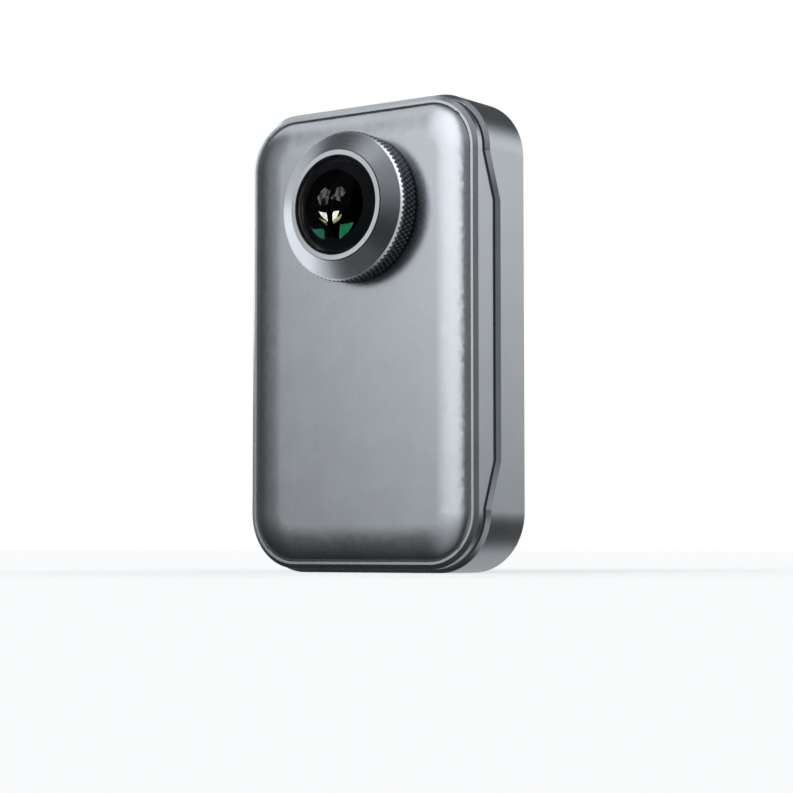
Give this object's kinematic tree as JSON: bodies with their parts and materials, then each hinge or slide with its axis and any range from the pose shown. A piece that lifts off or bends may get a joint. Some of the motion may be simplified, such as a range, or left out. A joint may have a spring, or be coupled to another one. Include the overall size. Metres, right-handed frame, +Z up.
{
  "type": "spherical action camera",
  "caption": "Slab-shaped pocket camera that sees all round, with a fisheye lens in a knurled twist ring on each face.",
  "frame": {"origin": "on the surface the camera stands on, under the middle of its body", "axes": "+Z up, the front lens faces -Y, +X to the right of a viewer in front"},
  "size_m": [0.0615, 0.0408, 0.1004],
  "materials": {
    "satin_metal": "satin, bead-blasted and anodised",
    "ring_metal": "turned cone face, knurled outside",
    "housing_metal": "satin, dark anodised",
    "bright_ring": "satin, light",
    "lens_glass": "polished, green coating",
    "lens_black": "matt black",
    "rubber": "matt black",
    "inner_metal": "as stamped",
    "steel": "plain",
    "circuit_board": "green solder mask",
    "ribbon": "amber film",
    "battery_wrap": "dark film",
    "tray_plastic": "moulded",
    "socket_steel": "plain",
    "switch_plastic": "moulded",
    "button_metal": "satin",
    "light_pipe": "clear"
  },
  "bodies": {
    "camera_body": {"front_panel": "satin_metal", "front_frame": "satin_metal", "rear_shell": "satin_metal", "rear_panel": "satin_metal", "front_lens_housing": "housing_metal", "rear_lens_housing": "housing_metal", "front_glass_retainer": "bright_ring", "rear_glass_retainer": "bright_ring", "front_dome_glass": "lens_glass", "rear_dome_glass": "lens_glass", "front_inner_lenses": "lens_glass", "rear_inner_lenses": "lens_glass", "front_lens_hood": "lens_black", "rear_lens_hood": "lens_black", "front_lens_barrel": "lens_black", "rear_lens_barrel": "lens_black", "body_gasket": "rubber", "front_glass_seal": "rubber", "rear_glass_seal": "rubber", "front_panel_seal": "rubber", "rear_panel_seal": "rubber", "microphone_boot": "rubber", "middle_plate": "inner_metal", "top_bracket": "inner_metal", "heat_spreader": "inner_metal", "case_screws": "steel", "front_lens_screws": "steel", "rear_lens_screws": "steel", "door_hinge_pin": "steel", "shutter_spring": "steel", "tripod_bush": "steel", "main_board": "circuit_board", "top_board": "circuit_board", "front_sensor_board": "circuit_board", "rear_sensor_board": "circuit_board", "front_sensor_cable": "ribbon", "rear_sensor_cable": "ribbon", "battery": "battery_wrap", "port_tray": "tray_plastic", "usb_socket": "socket_steel", "card_socket": "socket_steel", "power_switch": "switch_plastic", "shutter_switch": "switch_plastic", "status_light": "light_pipe"},
    "front_ring": {"front_lock_ring": "ring_metal"},
    "rear_ring": {"rear_lock_ring": "ring_metal"},
    "port_door": {"port_door": "satin_metal", "door_seal": "rubber"},
    "power_button": {"power_button": "button_metal"},
    "shutter_button": {"shutter_button": "button_metal"}
  },
  "joints": [
    {"name": "front_ring_turn", "type": "hinge", "parent": "camera_body", "child": "front_ring", "pos_m": [0, -0.0135, 0.0768], "axis": [0, -1, 0], "range_deg": [0, 40]},
    {"name": "rear_ring_turn", "type": "hinge", "parent": "camera_body", "child": "rear_ring", "pos_m": [0, 0.0135, 0.0768], "axis": [0, 1, 0], "range_deg": [0, 40]},
    {"name": "port_door_swing", "type": "hinge", "parent": "camera_body", "child": "port_door", "pos_m": [-0.0294, 0.00345, 0.0191], "axis": [0, -1, 0], "range_deg": [0, 90]},
    {"name": "power_press", "type": "slide", "parent": "camera_body", "child": "power_button", "axis": [1, 0, 0], "range_m": [0, 0.0004], "stiffness_N_per_m": 500, "springref_m": -0.002},
    {"name": "shutter_press", "type": "slide", "parent": "camera_body", "child": "shutter_button", "axis": [0, 0, -1], "range_m": [0, 0.0006], "stiffness_N_per_m": 500, "springref_m": -0.002, "deforming": ["shutter_spring"]}
  ]
}
